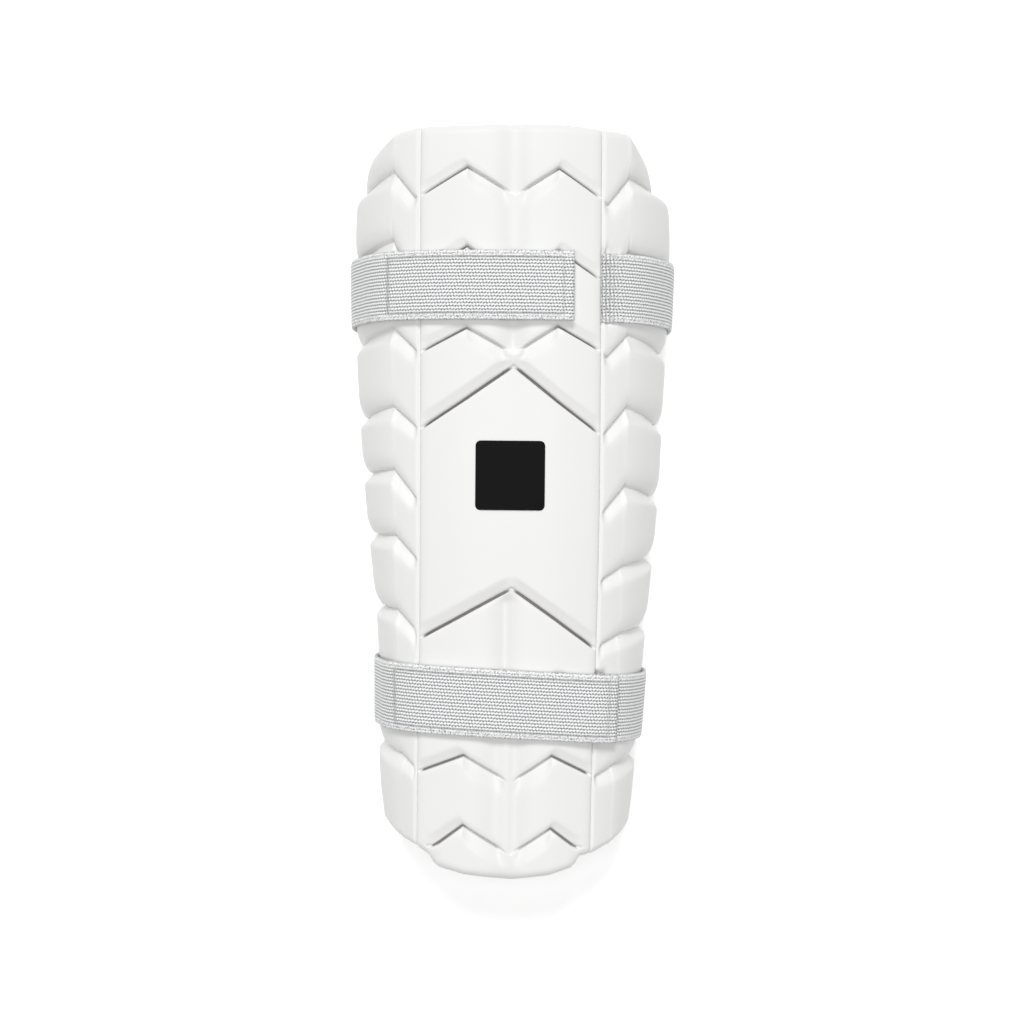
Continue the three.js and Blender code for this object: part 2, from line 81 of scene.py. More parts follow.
def makeStudio():
    bm = bmesh.new()
    bmesh.ops.create_grid(bm, x_segments=1, y_segments=1, size=studio["floorHalf"])
    mesh = bpy.data.meshes.new("floor")
    bm.to_mesh(mesh)
    bm.free()
    floor = bpy.data.objects.new("floor", mesh)
    bpy.context.scene.collection.objects.link(floor)
    material = bpy.data.materials.new("paleFloor")
    material.use_nodes = True
    shader = material.node_tree.nodes["Principled BSDF"]
    grey = studio["floorGrey"]
    shader.inputs["Base Color"].default_value = (grey, grey, grey, 1)
    shader.inputs["Roughness"].default_value = studio["floorRoughness"]
    shader.inputs["Emission Color"].default_value = (1, 1, 1, 1)
    shader.inputs["Emission Strength"].default_value = studio["floorGlow"]
    floor.data.materials.append(material)
    world = bpy.data.worlds.new("paleRoom")
    world.use_nodes = True
    background = world.node_tree.nodes["Background"]
    room = studio["worldGrey"]
    background.inputs["Color"].default_value = (room, room, room, 1)
    background.inputs["Strength"].default_value = studio["worldStrength"]
    bpy.context.scene.world = world
    for name, place, size, power in studio["lights"]:
        data = bpy.data.lights.new(name, "AREA")
        data.shape = "DISK"
        data.size = size
        data.energy = power
        light = bpy.data.objects.new(name, data)
        light.location = place
        aim = Vector((0, 0, studio["aimHeight"])) - Vector(place)
        light.rotation_euler = aim.to_track_quat("-Z", "Y").to_euler()
        bpy.context.scene.collection.objects.link(light)
    bpy.context.scene.view_settings.view_transform = "Standard"


shell = {
    "length": 277.0,
    "width": 121.0,
    "height": 60.0,
    "wall": 11.0,
    "rimWall": 8.0,
    "rimLift": 1.85,
    "shift": (0.64, 0.0),  # from the guard's middle line to the frame's origin
    "rimReach": 0.93,  # the rim turns in from the widest place
    "endRound": 3.0,
    "edgeGroove": 1.2,
    "edgeRun": 1.9,
    "panelReach": 34.0,  # millimetres of surface for each 1 of u on the centre panels
    "flankReach": 24.0,  # and beside them
}

# at: share of the length from the wrist end. The rest are shares of the width, and front of the height.
sectionTable = {
    "at": [0, 0.13, 0.32, 0.5, 0.67, 0.8, 0.9, 0.92, 0.935, 0.965, 1],
    "panelL": [0.287, 0.287, 0.2835, 0.284, 0.286, 0.2885, 0.29, 0.29, 0.29, 0.29, 0.29],
    "ridgeL": [0.326, 0.338, 0.354, 0.368, 0.376, 0.379, 0.379, 0.378, 0.378, 0.376, 0.372],
    "sideL": [0.384, 0.414, 0.424, 0.465, 0.494, 0.504, 0.503, 0.494, 0.48, 0.458, 0.402],
    "panelR": [0.249, 0.252, 0.262, 0.267, 0.266, 0.265, 0.2635, 0.2635, 0.2635, 0.2635, 0.2635],
    "ridgeR": [0.312, 0.325, 0.339, 0.35, 0.354, 0.356, 0.356, 0.3555, 0.355, 0.354, 0.352],
    "sideR": [0.368, 0.393, 0.4245, 0.46, 0.4775, 0.49, 0.489, 0.474, 0.443, 0.413, 0.374],
    "front": [0.84, 0.86, 0.9, 0.95, 0.98, 0.995, 1, 1, 1, 0.998, 0.99],
}

# Lines across the shell from the elbow end to the wrist end, as shares of the length. left and right give the
# crest, the panel's edge, its foot, the ridge and the side, and hip is a stop between the last two. front and
# flank: how deep it is moulded on the centre panels and beside them. single: one chevron right across both.
# lobe: the step in at the corners of the wrist end.
lineTable = [
    {"name": "elbowEnd", "mid": 1, "left": (0.998, 0.997, 0.997, 0.992, 0.962),
     "right": (1, 0.996, 0.9955, 0.9935, 0.958), "front": 0, "flank": 0, "single": False,
     "hip": (0.98, 0.978)},
    {"name": "g1", "mid": 0.9045, "left": (0.9415, 0.9035, 0.9045, 0.9405, 0.9245),
     "right": (0.9405, 0.902, 0.896, 0.935, 0.928), "front": 1, "flank": 1, "single": False},
    {"name": "g2", "mid": 0.795, "left": (0.838, 0.7955, 0.794, 0.8485, 0.83),
     "right": (0.833, 0.795, 0.786, 0.836, 0.814), "front": 1, "flank": 1, "single": False},
    {"name": "g3", "mid": 0.697, "left": (0.731, 0.6985, 0.705, 0.7335, 0.718),
     "right": (0.734, 0.702, 0.6955, 0.727, 0.71), "front": 1, "flank": 1, "single": False},
    {"name": "g4", "mid": 0.681, "left": (0.638, 0.597, 0.604, 0.629, 0.6175),
     "right": (0.635, 0.592, 0.5975, 0.631, 0.611), "front": 1, "flank": 1, "single": True},
    {"name": "g5", "mid": 0.58, "left": (0.552, 0.505, 0.5105, 0.5455, 0.542),
     "right": (0.545, 0.489, 0.494, 0.526, 0.513), "front": 0, "flank": 1, "single": False},
    {"name": "g6", "mid": 0.485, "left": (0.455, 0.425, 0.43, 0.458, 0.459),
     "right": (0.445, 0.397, 0.402, 0.4185, 0.432), "front": 0, "flank": 1, "single": False},
    {"name": "g7", "mid": 0.388, "left": (0.354, 0.32, 0.3335, 0.3585, 0.3625),
     "right": (0.348, 0.307, 0.315, 0.328, 0.338), "front": 1, "flank": 1, "single": True},
    {"name": "g8", "mid": 0.235, "left": (0.272, 0.2405, 0.2455, 0.272, 0.2715),
     "right": (0.272, 0.2405, 0.236, 0.251, 0.256), "front": 1, "flank": 1, "single": False},
    {"name": "g9", "mid": 0.129, "left": (0.166, 0.142, 0.15, 0.1635, 0.1765),
     "right": (0.166, 0.139, 0.139, 0.1515, 0.16), "front": 1, "flank": 1, "single": False},
    {"name": "g10", "mid": 0.033, "left": (0.0725, 0.055, 0.058, 0.065, 0.108),
     "right": (0.069, 0.048, 0.051, 0.062, 0.098), "front": 1, "flank": 0, "single": False,
     "hip": (0.082, 0.077), "lobe": (0.0445, 0.0435)},
    {"name": "wristEnd", "mid": 0, "left": (0.007, 0.0425, 0.044, 0.049, 0.092),
     "right": (0.007, 0.034, 0.036, 0.046, 0.082), "front": 0, "flank": 0, "single": False,
     "hip": (0.065, 0.061), "lobe": (0.0175, 0.032)},
]


def lerp(a, b, t):
    return a + (b - a) * t


def clamp(value, low, high):
    return min(high, max(low, value))


def smooth(low, high, value):
    t = clamp((value - low) / (high - low), 0, 1)
    return t * t * (3 - 2 * t)


def throughKeys(keys, values, at):
    i = 0
    last = len(keys) - 2
    while i < last and at > keys[i + 1]:
        i += 1

    def slope(k):
        a, b = max(0, k - 1), min(len(keys) - 1, k + 1)
        return (values[b] - values[a]) / (keys[b] - keys[a])

    span = keys[i + 1] - keys[i]
    t = clamp((at - keys[i]) / span, 0, 1)
    t2, t3 = t * t, t * t * t
    return ((2 * t3 - 3 * t2 + 1) * values[i] + (t3 - 2 * t2 + t) * slope(i) * span
            + (3 * t2 - 2 * t3) * values[i + 1] + (t3 - t2) * slope(i + 1) * span)


sectionMemo = {}


def sectionAt(y, side):
    spot = (round(y, 2), side)
    if spot not in sectionMemo:
        share = clamp(y / shell["length"] + 0.5, 0, 1)
        at = sectionTable["at"]
        sizes = [shell["width"] * throughKeys(at, sectionTable[name + side], share)
                 for name in ("panel", "ridge", "side")]
        sizes.append(shell["height"] * throughKeys(at, sectionTable["front"], share))
        sectionMemo[spot] = sizes
    return sectionMemo[spot]


# The section's curve. u is 0 at the middle, 1 at a panel's edge, 1.5 at the ridge and 2 at the rim.
curve = {
    "keys": [0, 0.5, 0.9, 1, 1.25, 1.42, 1.5, 1.56, 1.625, 1.75, 1.875, 2],
    "innerKeys": [0, 0.5, 1, 1.5, 1.75, 2],
    "ridgeDrop": 8.6,
}


def outerPoint(u, y):
    panel, ridge, side, front = sectionAt(y, "L" if u < 0 else "R")
    drop = curve["ridgeDrop"]
    rear = front - shell["rimLift"] - shell["rimWall"] / 2
    flank, reach = rear - drop, side - ridge
    across = [0, panel * 0.5, panel * 0.9, panel, lerp(panel, ridge, 0.52), lerp(panel, ridge, 0.85), ridge,
              ridge + reach * 0.26, ridge + reach * 0.52, ridge + reach * 0.88, side,
              lerp(ridge, side, shell["rimReach"])]
    down = [0, 0.5, 2.4, 3.6, 5.9, drop - 0.85, drop,
            drop + flank * 0.07, drop + flank * 0.18, drop + flank * 0.42, drop + flank * 0.7, rear]
    a = abs(u)
    x = throughKeys(curve["keys"], across, a)
    return Vector((-x if u < 0 else x, front - throughKeys(curve["keys"], down, a)))


def outerNormal(u, y):
    a = outerPoint(max(-2, u - 0.02), y)
    b = outerPoint(min(2, u + 0.02), y)
    return Vector((a.y - b.y, b.x - a.x)).normalized()


def innerPoint(u, y):
    panel, ridge, side, front = sectionAt(y, "L" if u < 0 else "R")
    wall = shell["wall"]
    rear = front - shell["rimLift"] - shell["rimWall"] / 2
    flank = rear - curve["ridgeDrop"]
    across = [0, panel * 0.45, panel * 0.86, lerp(panel, ridge, 0.2), lerp(ridge, side, 0.7) - wall * 0.9,
              lerp(ridge, side, shell["rimReach"]) - shell["rimWall"]]
    down = [wall, wall + 0.6, wall + 4.2, curve["ridgeDrop"] + wall,
            curve["ridgeDrop"] * 1.2 + flank * 0.48, rear]
    a = abs(u)
    x = throughKeys(curve["innerKeys"], across, a)
    return Vector((-x if u < 0 else x, front - throughKeys(curve["innerKeys"], down, a)))


def lineAt(line, u):
    a = abs(u)
    crest, edge, foot, ridge, side = line["left" if u < 0 else "right"]
    stops = [(0, line["mid"]), (0.5, crest), (1, edge), (1.1, foot), (1.5, ridge), (1.85, side), (2, side)]
    if "hip" in line:
        stops.insert(5, (1.75, line["hip"][0 if u < 0 else 1]))
    if "lobe" in line:
        stops[2:2] = [(0.8, line["lobe"][0]), (0.86, line["lobe"][1])]
    i = 0
    while i < len(stops) - 2 and a > stops[i + 1][0]:
        i += 1
    t = clamp((a - stops[i][0]) / (stops[i + 1][0] - stops[i][0]), 0, 1)
    return (lerp(stops[i][1], stops[i + 1][1], t) - 0.5) * shell["length"]


# How a groove is shaped on each stretch. slot: the dark line itself, slotRun wide. slope: the soft fall towards
# it over the run "above", with a low bead along its top. rest: what is left of it on the lower side over
# "below". puff: 0 for a flat slope, 1 for a swollen one.
grooveShapes = {
    "outerFlank": {"slot": 2.2, "slotRun": 0.9, "slope": 1.7, "above": 4.3, "bead": 0.5, "puff": 0.1,
        "rest": 0.25, "below": 1.6},
    "innerFlank": {"slot": 1.9, "slotRun": 0.85, "slope": 0.6, "above": 2.4, "bead": 0.35, "puff": 0.1,
        "rest": 1.4, "below": 6.0},
    "single": {"slot": 2.6, "slotRun": 1.1, "slope": 1.9, "above": 4.8, "bead": 0.6, "puff": 0.1,
        "rest": 0.3, "below": 1.8},
    "foot": {"slot": 0.5, "slotRun": 0.7, "slope": 1.8, "above": 2.4, "bead": 0.0, "puff": 1,
        "rest": 2.0, "below": 4.5},
    "facet": {"slot": 0.3, "slotRun": 0.8, "slope": 2.7, "above": 7.0, "bead": 0.0, "puff": 1,
        "rest": 2.7, "below": 6.0},
    "side": {"slot": 0.3, "slotRun": 0.8, "slope": 3.6, "above": 8.5, "bead": 0.0, "puff": 1,
        "rest": 3.6, "below": 4.5},
}


def blendShapes(a, b, t):
    return {name: lerp(grooveShapes[a][name], grooveShapes[b][name], t) for name in grooveShapes[a]}


def grooveAt(line, u):
    a = abs(u)
    if a < 1:
        if line["single"]:
            shape = grooveShapes["single"]
        else:
            shape = blendShapes("innerFlank", "outerFlank", smooth(0.42, 0.58, a))
        inner = lerp(0.4, 1, smooth(0.01, 0.09, a)) if line["single"] else smooth(0.05, 0.13, a)
        strength = line["front"] * inner * (1 - 0.9 * smooth(0.93, 0.99, a))
        if "lobe" in line:
            strength *= 1 - smooth(0.8, 0.88, a)
        return shape, strength
    if a < 1.5:
        shape = blendShapes("foot", "facet", clamp((a - 1.04) / 0.46, 0, 1))
    else:
        shape = blendShapes("facet", "side", smooth(1.5, 1.8, a))
    if "lobe" in line:
        return shape, 0
    strength = max(line["flank"] * smooth(1.01, 1.1, a), line["front"] * 0.1)
    return shape, strength


def slopeFactor(line, u):
    step = 0.01
    a, b = lineAt(line, u - step), lineAt(line, u + step)
    run = (shell["panelReach"] if abs(u) < 1 else shell["flankReach"]) * 2 * step
    return run / math.hypot(run, b - a)


def quarterRound(d, run):
    t = clamp(1 - d / run, 0, 1)
    return 1 - math.sqrt(max(0, 1 - t * t))


def depthAbove(shape, d, soft):
    slot = shape["slot"] * (1 - smooth(0.35 * shape["slotRun"], shape["slotRun"], d))
    far = lerp(d, soft, 0.75 * smooth(0, shape["above"] * 0.8, d))
    flat = clamp(1 - far / shape["above"], 0, 1)
    bead = math.sin(math.pi * clamp((far - shape["above"] + 0.7) / 3.0, 0, 1)) ** 2
    fall = lerp(flat, quarterRound(far, shape["above"]), shape["puff"])
    return slot + shape["slope"] * fall - shape["bead"] * bead


def depthBelow(shape, d):
    step = shape["slot"] + shape["slope"] - shape["rest"]
    return step * (1 - smooth(0.05, 0.45, d)) + shape["rest"] * (1 - smooth(0, shape["below"], d))


def reliefDepth(row, u, y):
    low, top = lineTable[row + 1], lineTable[row]
    depth = 0
    shape, strength = grooveAt(low, u)
    if strength > 0:
        d = max(0, y - lineAt(low, u)) * slopeFactor(low, u)
        rounded = (lineAt(low, u - 0.07) + lineAt(low, u + 0.07)) / 2
        soft = max(0, y - rounded) * slopeFactor(low, u)
        depth = depthAbove(shape, d, soft) * strength
    shape, strength = grooveAt(top, u)
    if strength > 0:
        d = max(0, lineAt(top, u) - y) * slopeFactor(top, u)
        under = depthBelow(shape, d) * strength
        depth = under if under > abs(depth) else depth
    away = abs(abs(u) - 1) * shell["panelReach"]
    return max(depth, shell["edgeGroove"] * quarterRound(away, shell["edgeRun"]), strapMouth(u, y))


# How the middle dips in the row under each line. kind "soft" is one wide valley that deepens down the row,
# "crease" is a sharp fold and "double" has a fine ridge between two valleys.
middleDips = {
    "elbowEnd": {"kind": "soft", "depth": 2.0, "width": 0.14, "at": -0.01},
    "g1": {"kind": "soft", "depth": 2.0, "width": 0.14, "at": -0.01, "fold": 0.3},
    "g2": {"kind": "soft", "depth": 2.0, "width": 0.14, "at": -0.01, "fold": 0.35},
    "g3": {"kind": "soft", "depth": 0.8, "width": 0.12, "at": -0.01},
    "g7": {"kind": "crease", "depth": 2.2, "width": 0.24, "at": -0.07},
    "g8": {"kind": "double", "depth": 2.5, "width": 0.2, "at": -0.05},
    "g9": {"kind": "double", "depth": 2.5, "width": 0.2, "at": -0.05},
    "g10": {"kind": "soft", "depth": 1.6, "width": 0.14, "at": -0.04},
}


def middleDip(row, u, y):
    top, low = lineTable[row], lineTable[row + 1]
    if top["name"] not in middleDips or abs(u) > 0.6:
        return 0
    dip = middleDips[top["name"]]
    highest, lowest = lineAt(top, 0), lineAt(low, 0)
    share = clamp((highest - y) / (highest - lowest), 0, 1)
    away = (u - dip["at"]) / dip["width"]
    if dip["kind"] == "crease":
        fold = 1 - clamp(abs(away), 0, 1)
        return dip["depth"] * (0.35 * fold + 0.65 * fold ** 3) * smooth(0, 0.12, share)
    soft = math.exp(-away * away)
    if "fold" in dip:
        soft += dip["fold"] * math.exp(-((away / 0.33) ** 2)) * smooth(0.5, 0.95, share)
    if dip["kind"] == "double":
        return dip["depth"] * (soft - 0.55 * math.exp(-((away / 0.42) ** 2)))
    return dip["depth"] * soft * lerp(0.75, 1.1, smooth(0.4, 1, share))


mouth = {  # the opening in which a strap starts
    "depth": 3.6,
    "x": 33,
    "halfWidth": (12.8, 13.6),  # full depth to the first, none past the second
    "inner": (0.978, 0.992),  # u where it opens under the panel's edge
    "outer": (1.0, 1.3),  # and where it runs out
}


def strapMouth(u, y):
    if u < mouth["inner"][0] or u > mouth["outer"][1]:
        return 0
    deepest = 0
    for place in strapPlaces:
        reach = 1 - smooth(*mouth["halfWidth"], abs(y - strapCentre(place, mouth["x"])))
        inner, outer = smooth(*mouth["inner"], u), 1 - smooth(*mouth["outer"], u)
        deepest = max(deepest, mouth["depth"] * reach * inner * outer)
    return deepest


def acrossSamples():
    half = []
    for centre, spread in ((0.5, 0.1), (1, 0.1), (1.5, 0.12)):  # close together at each fold
        for share in (1, 0.66, 0.4, 0.2, 0.08):
            half += [centre - spread * share, centre + spread * share]
        half.append(centre)
    half += [0.02, 0.05, 0.08, 0.11, 0.14, 0.18, 0.23, 0.28, 0.34, 0.65, 0.7, 0.76, 0.82, 0.87]
    half += [1.14, 1.19, 1.25, 1.31, 1.35, 1.66, 1.7, 1.74, 1.78, 1.82, 1.86, 1.9, 1.94, 1.97, 2]
    half = sorted(half)
    return [-u for u in reversed(half)] + [0] + half


sampleReach = 6.4  # how far from each line the rows of the mesh stay close together


def alongSamples():
    runs = [0.12, 0.28, 0.5, 0.75, 1.1, 1.6, 2.3, 3.1, 3.9, 4.7, 5.5, sampleReach]
    samples = []
    for row in range(len(lineTable) - 1):
        if row == 0:
            samples.append((row, "top", 0))
        samples += [(row, "top", run) for run in runs]
        samples += [(row, "between", (i + 1) / 6) for i in range(5)]
        samples += [(row, "low", run) for run in reversed(runs)]
        samples.append((row, "low", 0))
    return samples


def sampleY(sample, u):
    row, kind, value = sample
    top, low = lineAt(lineTable[row], u), lineAt(lineTable[row + 1], u)
    scale = min(1, (top - low) * 0.07)  # a low row draws them closer
    if kind == "top":
        return top - value * scale
    if kind == "low":
        return low + value * scale
    return lerp(top - sampleReach * scale, low + sampleReach * scale, value)


def endRounding(u, y):
    first, last = lineTable[0], lineTable[-1]
    up = (lineAt(first, u) - y) * slopeFactor(first, u)
    down = (y - lineAt(last, u)) * slopeFactor(last, u)
    return shell["endRound"] * quarterRound(max(0, min(up, down)), shell["endRound"])


def inFrame(x, y, z):
    return Vector(((x + shell["shift"][0]) * mm, (y + shell["shift"][1]) * mm, z * mm))


def buildPad():
    us, samples = acrossSamples(), alongSamples()
    nu, nv = len(us), len(samples)
    bm = bmesh.new()
    bmesh.ops.create_grid(bm, x_segments=nu - 1, y_segments=nv - 1, size=1)
    across, along = bm.verts.layers.int.new("across"), bm.verts.layers.int.new("along")
    through = bm.verts.layers.float.new("through")
    # crease: groove depth, which paints shade into the slot of each groove
    crease = bm.verts.layers.float.new("crease")
    for vert in bm.verts:
        vert[across] = round((vert.co.x + 1) / 2 * (nu - 1))
        vert[along] = round((1 - vert.co.y) / 2 * (nv - 1))
    outerVerts = set(bm.verts)
    made = bmesh.ops.extrude_face_region(bm, geom=bm.faces[:], use_keep_orig=True)
    innerVerts = [item for item in made["geom"] if isinstance(item, bmesh.types.BMVert)]
    for vert in innerVerts:
        vert[through] = 1
    walls = [edge for edge in bm.edges if (edge.verts[0] in outerVerts) != (edge.verts[1] in outerVerts)]
    bmesh.ops.subdivide_edges(bm, edges=walls, cuts=5, use_grid_fill=True)
    for vert in bm.verts:
        u, sample, t = us[vert[across]], samples[vert[along]], vert[through]
        y = sampleY(sample, u)
        base, normal = outerPoint(u, y), outerNormal(u, y)
        turned = endRounding(u, y)
        relief = reliefDepth(sample[0], u, y) if t < 1 else 0
        dip = middleDip(sample[0], u, y) if t < 1 else 0
        # the groove depth that darkens the colour: painted shade in the slots
        vert[crease] = relief / 3 * (1 - 0.7 * smooth(1, 1.3, abs(u))) if t < 0.5 else 0
        outer = base - normal * (relief + dip + turned)
        inner = innerPoint(u, y) + normal * turned * 0.7
        if t == 0:
            place = outer
        elif t == 1:
            place = inner
        else:
            place = outer.lerp(inner, t)
            if vert[across] in (0, nu - 1):
                radius = (outer - inner).length / 2
                middle = (outer + inner) / 2
                angle = math.pi * t
                out = (outer.x - middle.x) * math.cos(angle)
                place = Vector((middle.x + out, middle.y - radius * math.sin(angle)))
        vert.co = inFrame(place.x, y, place.y)
    bmesh.ops.recalc_face_normals(bm, faces=bm.faces)
    return finishMesh(bm, "foamShell")


strap = {
    "width": 25.0,
    "thickness": 1.5,
    "patch": 1.0,  # thickness of the grip patch under it
    "gap": 0.35,
    "slitDepth": 9.0,
    "ribs": 21,
    "ribHeight": 0.13,
    "step": 1.25,  # between samples along the strap
    "gather": 0.28,  # height of the small gathers at the slit
    "gatherRun": (2, 15),  # they fade between these distances from it
    "edgeShare": 0.62,  # thickness left at the very edge
    "edgeRun": 1.1,
}

strapPlaces = [  # centre and tilt as shares of the length; the free end counts 1 at the panel edge
    {"name": "upper", "at": 0.7865, "tilt": 0.0, "freeEnd": 0.66},
    {"name": "lower", "at": 0.2368, "tilt": -0.0204, "freeEnd": 1.3},
]


def strapCentre(place, x):
    return (place["at"] - 0.5) * shell["length"] + place["tilt"] * shell["length"] * x / shell["width"]


def strapStops(place):
    half, gap = strap["thickness"] / 2, strap["gap"]
    low = gap + half
    high = low + strap["patch"] + gap
    depth = strap["slitDepth"]
    stops = [("slit", depth * share, drop) for share, drop in ((0.13, 6.9), (-0.07, 5.9), (-0.27, 5.2))]
    stops += [("over", u, low) for u in (1.28, 1.38, 1.46, 1.5, 1.56, 1.65, 1.75, 1.85, 1.93)]
    stops += [("rim", 1, turn) for turn in (0, 0.125, 0.25, 0.375, 0.5)]
    stops += [("back", share, 0) for share in (0.03, 0.25, 0.5, 0.75, 0.97)]
    stops += [("rim", -1, turn) for turn in (0.5, 0.375, 0.25, 0.125, 0)]
    stops += [("over", u, low) for u in (-1.93, -1.85, -1.75, -1.67)]
    end = place["freeEnd"]
    front = [-1.6, -1.54, -1.5, -1.45, -1.36, -1.2, -1, -0.75, -0.5, -0.25, 0, 0.25, 0.5]
    if end > 1:
        front += [0.7, 0.85, 0.95, 1.05, 1.15]
    for u in front + [end]:
        climb = smooth(-1.72, -1.5, u) * (high - low)
        cross = smooth(0.55, 1.1, u) * (strap["thickness"] + gap)
        stops.append(("over", u, low + climb + cross))
    return stops


def strapPoint(stop, y):
    kind, a, b = stop
    if kind == "slit":
        sizes = sectionAt(y, "R")
        return Vector((sizes[0] - a, sizes[3] - b))
    if kind == "over":
        return outerPoint(a, y) + outerNormal(a, y) * b
    if kind == "back":
        return strapPoint(("rim", 1, 0.5), y).lerp(strapPoint(("rim", -1, 0.5), y), a)
    out = shell["rimWall"] / 2 + strap["gap"] + strap["thickness"] / 2
    end = outerPoint(2 * a, y)
    x = end.x - a * shell["rimWall"] / 2
    return Vector((x + a * out * math.cos(math.pi * b), end.y - out * math.sin(math.pi * b)))


def smoothLine(points):
    dense = []
    parts = 12
    for i in range(len(points) - 1):
        p0, p1 = points[max(0, i - 1)], points[i]
        p2, p3 = points[i + 1], points[min(len(points) - 1, i + 2)]
        d0, d1, d2 = (max(1e-6, (b - a).length ** 0.5) for a, b in ((p0, p1), (p1, p2), (p2, p3)))
        m1 = (p1 - p0) / d0 - (p2 - p0) / (d0 + d1) + (p2 - p1) / d1 if i else (p2 - p1) / d1
        m2 = (p2 - p1) / d1 - (p3 - p1) / (d1 + d2) + (p3 - p2) / d2 if i < len(points) - 2 else (p2 - p1) / d1
        m1, m2 = m1 * d1, m2 * d1
        for k in range(parts):
            t = k / parts
            t2, t3 = t * t, t * t * t
            dense.append(p1 * (2 * t3 - 3 * t2 + 1) + m1 * (t3 - 2 * t2 + t)
                         + p2 * (3 * t2 - 2 * t3) + m2 * (t3 - t2))
    dense.append(points[-1])
    return dense


def strapSurface(place):
    stations = 5
    stops = strapStops(place)
    lines = []
    for k in range(stations):
        side = (k / (stations - 1) - 0.5) * strap["width"]
        line = []
        for stop in stops:
            rough = strapPoint(stop, strapCentre(place, 0) + side)
            y = strapCentre(place, rough.x) + side
            p = strapPoint(stop, y)
            line.append(Vector((p.x, y, p.y)))
        lines.append(smoothLine(line))
    middle = lines[stations // 2]
    run = [0]
    for a, b in zip(middle, middle[1:]):
        run.append(run[-1] + (b - a).length)
    total = run[-1]

    def at(distance, across):
        distance = clamp(distance, 0, total)
        lo, hi = 0, len(run) - 2
        while lo < hi:
            half = (lo + hi + 1) // 2
            if run[half] <= distance:
                lo = half
            else:
                hi = half - 1
        t = (distance - run[lo]) / max(1e-9, run[lo + 1] - run[lo])
        track = clamp((across / strap["width"] + 0.5) * (stations - 1), 0, stations - 1.0001)
        k = int(track)
        f = track - k
        a = lines[k][lo].lerp(lines[k][lo + 1], t)
        b = lines[k + 1][lo].lerp(lines[k + 1][lo + 1], t)
        return a.lerp(b, f)

    def frameAt(distance, across):
        p = at(distance, across)
        along = (at(distance + 0.6, across) - at(distance - 0.6, across)).normalized()
        over = (at(distance, across + 0.5) - at(distance, across - 0.5)).normalized()
        normal = over.cross(along).normalized()
        return p, along, over, normal

    return frameAt, total


def buildStrap(place):
    frameAt, total = strapSurface(place)
    ribs, width, thick = strap["ribs"], strap["width"], strap["thickness"]
    nu = ribs * 4 + 1
    nv = int(total / strap["step"]) + 1
    bm = bmesh.new()
    bmesh.ops.create_grid(bm, x_segments=nu - 1, y_segments=nv - 1, size=1)
    across, along = bm.verts.layers.int.new("across"), bm.verts.layers.int.new("along")
    seamShade, gathered = bm.verts.layers.float.new("seamShade"), bm.verts.layers.float.new("gathered")
    uvLayer = bm.loops.layers.uv.new("weave")
    for vert in bm.verts:
        vert[across] = round((vert.co.x + 1) / 2 * (nu - 1))
        vert[along] = round((vert.co.y + 1) / 2 * (nv - 1))
    outerVerts = set(bm.verts)
    made = bmesh.ops.extrude_face_region(bm, geom=bm.faces[:], use_keep_orig=True)
    innerVerts = {item for item in made["geom"] if isinstance(item, bmesh.types.BMVert)}
    seamStart, seamEnd, seamSide = seamSpan(place, frameAt, total)
    for face in bm.faces:
        for loop in face.loops:
            loop[uvLayer].uv = (loop.vert[along] * total / (nv - 1), loop.vert[across] / (nu - 1) * ribs)
    for vert in bm.verts:
        distance = vert[along] * total / (nv - 1)
        w = (vert[across] / (nu - 1) - 0.5) * width
        p, _, _, normal = frameAt(distance, w)
        # closeness to the seam, used to paint shade along the stitches
        inside = seamStart - 1 < distance < seamEnd + 0.6 and abs(w) < seamSide + 0.6
        fromSeam = min(abs(distance - seamStart), abs(distance - seamEnd), abs(abs(w) - seamSide))
        vert[seamShade] = 1 - smooth(0.25, 0.7, fromSeam) if inside else 0
        # near the slit, where the painted shade of the gathers goes
        vert[gathered] = 1 - smooth(3, 11, distance)
        turn = vert[across] / (nu - 1) * ribs
        rib = strap["ribHeight"] * (abs(math.sin(math.pi * turn)) ** 0.6 - 1)
        edge = smooth(0, strap["edgeRun"], width / 2 - abs(w))
        half = thick / 2 * lerp(strap["edgeShare"], 1, edge)
        nearSlit = 1 - smooth(*strap["gatherRun"], distance)
        pucker = strap["gather"] * nearSlit * math.sin(distance * 2.6 + 0.5 * math.sin(w * 0.4))
        face = -1 if vert in innerVerts else 1
        off = face * (half + rib * 0.5 * edge) + pucker * edge
        q = p + normal * off
        vert.co = inFrame(*q)
    bmesh.ops.recalc_face_normals(bm, faces=bm.faces)
    return finishMesh(bm, place["name"] + "Elastic"), frameAt, total


seam = {
    "pitch": 1.9,
    "stitch": 1.35,
    "thread": 0.27,  # half its thickness
    "bow": 0.22,  # how far a stitch's ends dip
    "fromEdge": 2.4,
    "fromEnd": 3.3,
}


def seamSpan(place, frameAt, total):
    ridge = -sectionAt(strapCentre(place, -40), "L")[1] - 0.6
    start = total * 0.5
    while frameAt(start, 0)[0].x < ridge or frameAt(start, 0)[0].z < shell["height"] * 0.5:
        start += 0.5
    return start, total - seam["fromEnd"], strap["width"] / 2 - seam["fromEdge"]


def seamPath(place, frameAt, total):
    start, end, side = seamSpan(place, frameAt, total)
    spots = []
    corners = [(start, -side), (end, -side), (end, side), (start, side)]
    for a, b in zip(corners, corners[1:] + corners[:1]):
        reach = math.hypot(b[0] - a[0], b[1] - a[1])
        count = max(1, round(reach / seam["pitch"]))
        for k in range(count):
            t = (k + 0.5) / count
            spots.append((lerp(a[0], b[0], t), lerp(a[1], b[1], t), a[1] == b[1]))
    return spots


